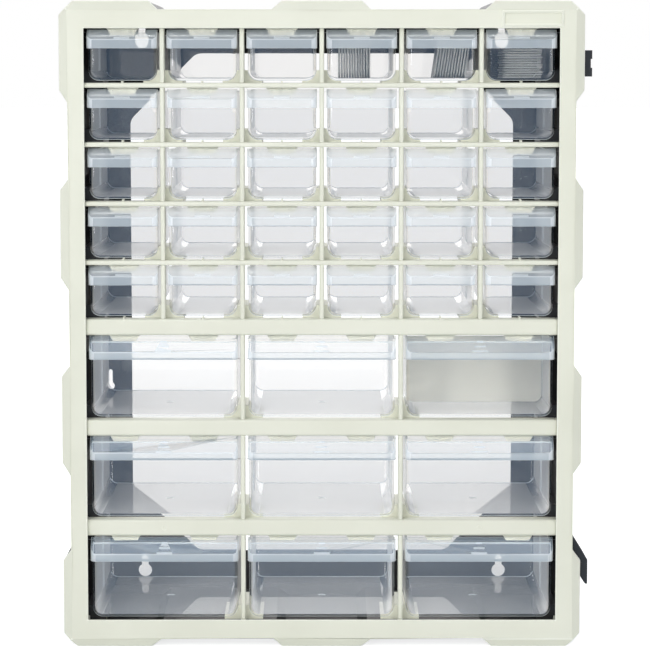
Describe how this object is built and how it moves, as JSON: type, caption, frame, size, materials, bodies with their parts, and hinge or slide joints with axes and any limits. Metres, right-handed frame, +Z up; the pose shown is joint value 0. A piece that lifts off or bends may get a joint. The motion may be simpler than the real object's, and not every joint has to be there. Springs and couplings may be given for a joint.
{
  "type": "parts cabinet with drawers",
  "caption": "Standing or wall-hung parts cabinet: small and large clear pull-out drawers in a pale front grid, with a black housing that is open at the back.",
  "frame": {"origin": "on the floor, under the middle of the cabinet's width and depth", "axes": "+Z up, +Y towards the wall, so the drawers open towards -Y; +X to the right for a person facing the drawers"},
  "size_m": [0.3862, 0.1615, 0.473],
  "materials": {
    "cream_plastic": "satin",
    "black_plastic": "fine grain",
    "clear_plastic": "clear, glossy",
    "grey_plastic": "satin"
  },
  "bodies": {
    "cabinet": {"front_bezel": "cream_plastic", "crossbar_1": "cream_plastic", "crossbar_2": "cream_plastic", "crossbar_3": "cream_plastic", "crossbar_4": "cream_plastic", "crossbar_5": "cream_plastic", "crossbar_6": "cream_plastic", "crossbar_7": "cream_plastic", "small_uprights": "cream_plastic", "large_uprights": "cream_plastic", "small_runners": "cream_plastic", "large_runners": "cream_plastic", "side_runners": "black_plastic", "housing_shell": "black_plastic", "back_panel": "black_plastic"},
    "drawer_1_1": {"drawer_1_1": "clear_plastic"},
    "drawer_1_2": {"drawer_1_2": "clear_plastic"},
    "drawer_1_3": {"drawer_1_3": "clear_plastic"},
    "drawer_1_4": {"drawer_1_4": "clear_plastic", "upright_divider_stack": "grey_plastic"},
    "drawer_1_5": {"drawer_1_5": "clear_plastic", "leaning_divider_stack": "grey_plastic"},
    "drawer_1_6": {"drawer_1_6": "clear_plastic", "flat_divider_pile": "grey_plastic"},
    "drawer_2_1": {"drawer_2_1": "clear_plastic"},
    "drawer_2_2": {"drawer_2_2": "clear_plastic"},
    "drawer_2_3": {"drawer_2_3": "clear_plastic"},
    "drawer_2_4": {"drawer_2_4": "clear_plastic"},
    "drawer_2_5": {"drawer_2_5": "clear_plastic"},
    "drawer_2_6": {"drawer_2_6": "clear_plastic"},
    "drawer_3_1": {"drawer_3_1": "clear_plastic"},
    "drawer_3_2": {"drawer_3_2": "clear_plastic"},
    "drawer_3_3": {"drawer_3_3": "clear_plastic"},
    "drawer_3_4": {"drawer_3_4": "clear_plastic"},
    "drawer_3_5": {"drawer_3_5": "clear_plastic"},
    "drawer_3_6": {"drawer_3_6": "clear_plastic"},
    "drawer_4_1": {"drawer_4_1": "clear_plastic"},
    "drawer_4_2": {"drawer_4_2": "clear_plastic"},
    "drawer_4_3": {"drawer_4_3": "clear_plastic"},
    "drawer_4_4": {"drawer_4_4": "clear_plastic"},
    "drawer_4_5": {"drawer_4_5": "clear_plastic"},
    "drawer_4_6": {"drawer_4_6": "clear_plastic"},
    "drawer_5_1": {"drawer_5_1": "clear_plastic"},
    "drawer_5_2": {"drawer_5_2": "clear_plastic"},
    "drawer_5_3": {"drawer_5_3": "clear_plastic"},
    "drawer_5_4": {"drawer_5_4": "clear_plastic"},
    "drawer_5_5": {"drawer_5_5": "clear_plastic"},
    "drawer_5_6": {"drawer_5_6": "clear_plastic"},
    "drawer_6_1": {"drawer_6_1": "clear_plastic"},
    "drawer_6_2": {"drawer_6_2": "clear_plastic"},
    "drawer_6_3": {"drawer_6_3": "clear_plastic", "large_divider": "grey_plastic"},
    "drawer_7_1": {"drawer_7_1": "clear_plastic"},
    "drawer_7_2": {"drawer_7_2": "clear_plastic"},
    "drawer_7_3": {"drawer_7_3": "clear_plastic"},
    "drawer_8_1": {"drawer_8_1": "clear_plastic"},
    "drawer_8_2": {"drawer_8_2": "clear_plastic"},
    "drawer_8_3": {"drawer_8_3": "clear_plastic"}
  },
  "joints": [
    {"name": "drawer_1_1_slide", "type": "slide", "parent": "cabinet", "child": "drawer_1_1", "axis": [0, -1, 0], "range_m": [0, 0.1327]},
    {"name": "drawer_1_2_slide", "type": "slide", "parent": "cabinet", "child": "drawer_1_2", "axis": [0, -1, 0], "range_m": [0, 0.1327]},
    {"name": "drawer_1_3_slide", "type": "slide", "parent": "cabinet", "child": "drawer_1_3", "axis": [0, -1, 0], "range_m": [0, 0.1327]},
    {"name": "drawer_1_4_slide", "type": "slide", "parent": "cabinet", "child": "drawer_1_4", "axis": [0, -1, 0], "range_m": [0, 0.1327]},
    {"name": "drawer_1_5_slide", "type": "slide", "parent": "cabinet", "child": "drawer_1_5", "axis": [0, -1, 0], "range_m": [0, 0.1327]},
    {"name": "drawer_1_6_slide", "type": "slide", "parent": "cabinet", "child": "drawer_1_6", "axis": [0, -1, 0], "range_m": [0, 0.1327]},
    {"name": "drawer_2_1_slide", "type": "slide", "parent": "cabinet", "child": "drawer_2_1", "axis": [0, -1, 0], "range_m": [0, 0.1327]},
    {"name": "drawer_2_2_slide", "type": "slide", "parent": "cabinet", "child": "drawer_2_2", "axis": [0, -1, 0], "range_m": [0, 0.1327]},
    {"name": "drawer_2_3_slide", "type": "slide", "parent": "cabinet", "child": "drawer_2_3", "axis": [0, -1, 0], "range_m": [0, 0.1327]},
    {"name": "drawer_2_4_slide", "type": "slide", "parent": "cabinet", "child": "drawer_2_4", "axis": [0, -1, 0], "range_m": [0, 0.1327]},
    {"name": "drawer_2_5_slide", "type": "slide", "parent": "cabinet", "child": "drawer_2_5", "axis": [0, -1, 0], "range_m": [0, 0.1327]},
    {"name": "drawer_2_6_slide", "type": "slide", "parent": "cabinet", "child": "drawer_2_6", "axis": [0, -1, 0], "range_m": [0, 0.1327]},
    {"name": "drawer_3_1_slide", "type": "slide", "parent": "cabinet", "child": "drawer_3_1", "axis": [0, -1, 0], "range_m": [0, 0.1327]},
    {"name": "drawer_3_2_slide", "type": "slide", "parent": "cabinet", "child": "drawer_3_2", "axis": [0, -1, 0], "range_m": [0, 0.1327]},
    {"name": "drawer_3_3_slide", "type": "slide", "parent": "cabinet", "child": "drawer_3_3", "axis": [0, -1, 0], "range_m": [0, 0.1327]},
    {"name": "drawer_3_4_slide", "type": "slide", "parent": "cabinet", "child": "drawer_3_4", "axis": [0, -1, 0], "range_m": [0, 0.1327]},
    {"name": "drawer_3_5_slide", "type": "slide", "parent": "cabinet", "child": "drawer_3_5", "axis": [0, -1, 0], "range_m": [0, 0.1327]},
    {"name": "drawer_3_6_slide", "type": "slide", "parent": "cabinet", "child": "drawer_3_6", "axis": [0, -1, 0], "range_m": [0, 0.1327]},
    {"name": "drawer_4_1_slide", "type": "slide", "parent": "cabinet", "child": "drawer_4_1", "axis": [0, -1, 0], "range_m": [0, 0.1327]},
    {"name": "drawer_4_2_slide", "type": "slide", "parent": "cabinet", "child": "drawer_4_2", "axis": [0, -1, 0], "range_m": [0, 0.1327]},
    {"name": "drawer_4_3_slide", "type": "slide", "parent": "cabinet", "child": "drawer_4_3", "axis": [0, -1, 0], "range_m": [0, 0.1327]},
    {"name": "drawer_4_4_slide", "type": "slide", "parent": "cabinet", "child": "drawer_4_4", "axis": [0, -1, 0], "range_m": [0, 0.1327]},
    {"name": "drawer_4_5_slide", "type": "slide", "parent": "cabinet", "child": "drawer_4_5", "axis": [0, -1, 0], "range_m": [0, 0.1327]},
    {"name": "drawer_4_6_slide", "type": "slide", "parent": "cabinet", "child": "drawer_4_6", "axis": [0, -1, 0], "range_m": [0, 0.1327]},
    {"name": "drawer_5_1_slide", "type": "slide", "parent": "cabinet", "child": "drawer_5_1", "axis": [0, -1, 0], "range_m": [0, 0.1327]},
    {"name": "drawer_5_2_slide", "type": "slide", "parent": "cabinet", "child": "drawer_5_2", "axis": [0, -1, 0], "range_m": [0, 0.1327]},
    {"name": "drawer_5_3_slide", "type": "slide", "parent": "cabinet", "child": "drawer_5_3", "axis": [0, -1, 0], "range_m": [0, 0.1327]},
    {"name": "drawer_5_4_slide", "type": "slide", "parent": "cabinet", "child": "drawer_5_4", "axis": [0, -1, 0], "range_m": [0, 0.1327]},
    {"name": "drawer_5_5_slide", "type": "slide", "parent": "cabinet", "child": "drawer_5_5", "axis": [0, -1, 0], "range_m": [0, 0.1327]},
    {"name": "drawer_5_6_slide", "type": "slide", "parent": "cabinet", "child": "drawer_5_6", "axis": [0, -1, 0], "range_m": [0, 0.1327]},
    {"name": "drawer_6_1_slide", "type": "slide", "parent": "cabinet", "child": "drawer_6_1", "axis": [0, -1, 0], "range_m": [0, 0.1327]},
    {"name": "drawer_6_2_slide", "type": "slide", "parent": "cabinet", "child": "drawer_6_2", "axis": [0, -1, 0], "range_m": [0, 0.1327]},
    {"name": "drawer_6_3_slide", "type": "slide", "parent": "cabinet", "child": "drawer_6_3", "axis": [0, -1, 0], "range_m": [0, 0.1327]},
    {"name": "drawer_7_1_slide", "type": "slide", "parent": "cabinet", "child": "drawer_7_1", "axis": [0, -1, 0], "range_m": [0, 0.1327]},
    {"name": "drawer_7_2_slide", "type": "slide", "parent": "cabinet", "child": "drawer_7_2", "axis": [0, -1, 0], "range_m": [0, 0.1327]},
    {"name": "drawer_7_3_slide", "type": "slide", "parent": "cabinet", "child": "drawer_7_3", "axis": [0, -1, 0], "range_m": [0, 0.1327]},
    {"name": "drawer_8_1_slide", "type": "slide", "parent": "cabinet", "child": "drawer_8_1", "axis": [0, -1, 0], "range_m": [0, 0.1327]},
    {"name": "drawer_8_2_slide", "type": "slide", "parent": "cabinet", "child": "drawer_8_2", "axis": [0, -1, 0], "range_m": [0, 0.1327]},
    {"name": "drawer_8_3_slide", "type": "slide", "parent": "cabinet", "child": "drawer_8_3", "axis": [0, -1, 0], "range_m": [0, 0.1327]}
  ]
}
